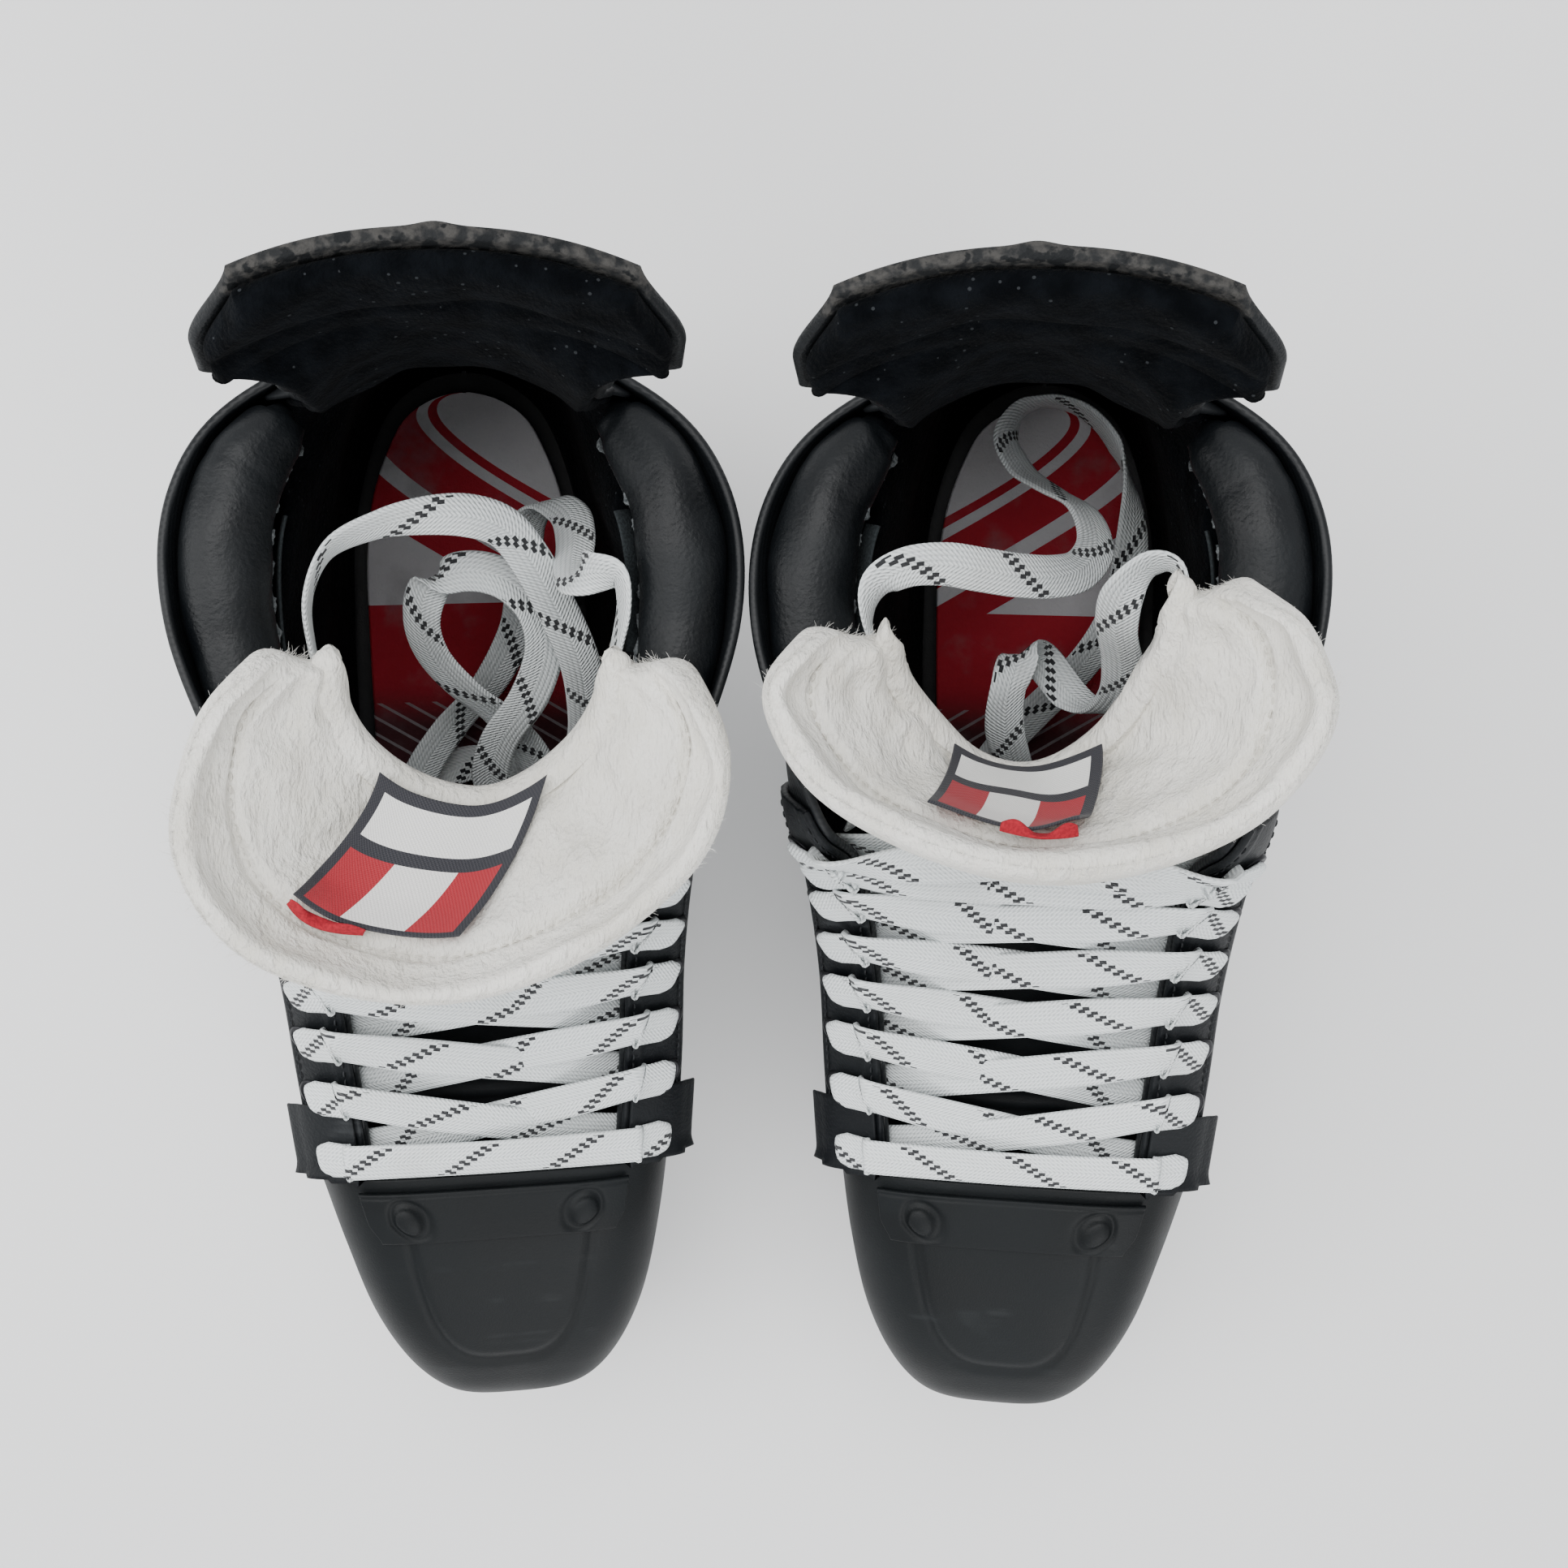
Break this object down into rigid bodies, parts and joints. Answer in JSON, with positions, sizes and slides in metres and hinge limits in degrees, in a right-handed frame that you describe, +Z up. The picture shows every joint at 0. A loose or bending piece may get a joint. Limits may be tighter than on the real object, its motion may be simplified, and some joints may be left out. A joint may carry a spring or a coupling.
{
  "type": "ice skates",
  "caption": "Pair of lace-up hockey ice skates leaning together, with thick felt tongues folded forward, padded collars, tall tendon guards, flat laces tucked inside and steel runners.",
  "frame": {"origin": "on the floor, under the centre of the pair's bounding box", "axes": "+X from the right skate to the left skate, +Y from the toes to the heels, +Z up"},
  "size_m": [0.248, 0.308, 0.2678],
  "materials": {
    "silver_quarter": "satin silver-white composite, black at the collar and sole",
    "black_composite": "ribbed synthetic",
    "black_plastic": "moulded, matt",
    "black_leather": "smooth synthetic leather over foam",
    "black_felt": "brushed microfibre",
    "white_felt": "off-white wool felt",
    "white_lace": "flat braid with black tracer dashes",
    "insole_print": "printed cloth over foam",
    "label_weave": "woven label",
    "white_plastic": "moulded nylon",
    "outsole_composite": "pressed composite board",
    "polished_steel": "polished along its length",
    "bolt_steel": "zinc-plated",
    "copper": "copper-plated"
  },
  "bodies": {
    "right_skate": {"right_medial_quarter": "silver_quarter", "right_lateral_quarter": "silver_quarter", "right_medial_eyestay": "black_composite", "right_lateral_eyestay": "black_composite", "right_ankle_lining": "black_felt", "right_medial_collar_pad": "black_leather", "right_lateral_collar_pad": "black_leather", "right_toe_cap": "black_plastic", "right_toe_cap_plate": "black_plastic", "right_outsole": "outsole_composite", "right_insole": "insole_print", "right_tongue_facing": "black_plastic", "right_tongue_felt": "white_felt", "right_lace": "white_lace", "right_medial_lace_tail": "white_lace", "right_lateral_lace_tail": "white_lace", "right_blade_holder": "white_plastic", "right_runner": "polished_steel", "right_front_runner_bolt": "bolt_steel", "right_rear_runner_bolt": "bolt_steel", "right_front_runner_nut": "bolt_steel", "right_rear_runner_nut": "bolt_steel", "right_rivet_1": "copper", "right_rivet_2": "copper", "right_rivet_3": "copper", "right_rivet_4": "copper"},
    "right_tongue": {"right_tongue_top": "white_felt", "right_tongue_label": "label_weave"},
    "right_tendon_guard": {"right_tendon_guard": "black_plastic", "right_tendon_guard_felt": "black_felt"},
    "left_skate": {"left_medial_quarter": "silver_quarter", "left_lateral_quarter": "silver_quarter", "left_medial_eyestay": "black_composite", "left_lateral_eyestay": "black_composite", "left_ankle_lining": "black_felt", "left_medial_collar_pad": "black_leather", "left_lateral_collar_pad": "black_leather", "left_toe_cap": "black_plastic", "left_toe_cap_plate": "black_plastic", "left_outsole": "outsole_composite", "left_insole": "insole_print", "left_tongue_facing": "black_plastic", "left_tongue_felt": "white_felt", "left_lace": "white_lace", "left_medial_lace_tail": "white_lace", "left_lateral_lace_tail": "white_lace", "left_blade_holder": "white_plastic", "left_runner": "polished_steel", "left_front_runner_bolt": "bolt_steel", "left_rear_runner_bolt": "bolt_steel", "left_front_runner_nut": "bolt_steel", "left_rear_runner_nut": "bolt_steel", "left_rivet_1": "copper", "left_rivet_2": "copper", "left_rivet_3": "copper", "left_rivet_4": "copper"},
    "left_tongue": {"left_tongue_top": "white_felt", "left_tongue_label": "label_weave"},
    "left_tendon_guard": {"left_tendon_guard": "black_plastic", "left_tendon_guard_felt": "black_felt"}
  },
  "joints": [
    {"name": "left_skate_slide", "type": "slide", "parent": "right_skate", "child": "left_skate", "axis": [1, 0, 0], "range_m": [0, 0.25]},
    {"name": "right_tongue_fold", "type": "hinge", "parent": "right_skate", "child": "right_tongue", "pos_m": [-0.06167, 0.03453, 0.17536], "axis": [-0.9893, -0.0225, 0.1444], "range_deg": [0, 45], "deforming": ["right_tongue_top", "right_tongue_label"]},
    {"name": "left_tongue_fold", "type": "hinge", "parent": "left_skate", "child": "left_tongue", "pos_m": [0.06167, 0.03123, 0.17536], "axis": [-0.9893, 0.0225, -0.1444], "range_deg": [-30, 12], "deforming": ["left_tongue_top", "left_tongue_label"]},
    {"name": "right_tendon_flex", "type": "hinge", "parent": "right_skate", "child": "right_tendon_guard", "pos_m": [-0.06293, 0.13453, 0.18229], "axis": [-0.9893, -0.0225, 0.1444], "range_deg": [-4, 12], "stiffness_Nm_per_rad": 2},
    {"name": "left_tendon_flex", "type": "hinge", "parent": "left_skate", "child": "left_tendon_guard", "pos_m": [0.06293, 0.13123, 0.18229], "axis": [-0.9893, 0.0225, -0.1444], "range_deg": [-4, 12], "stiffness_Nm_per_rad": 2}
  ]
}
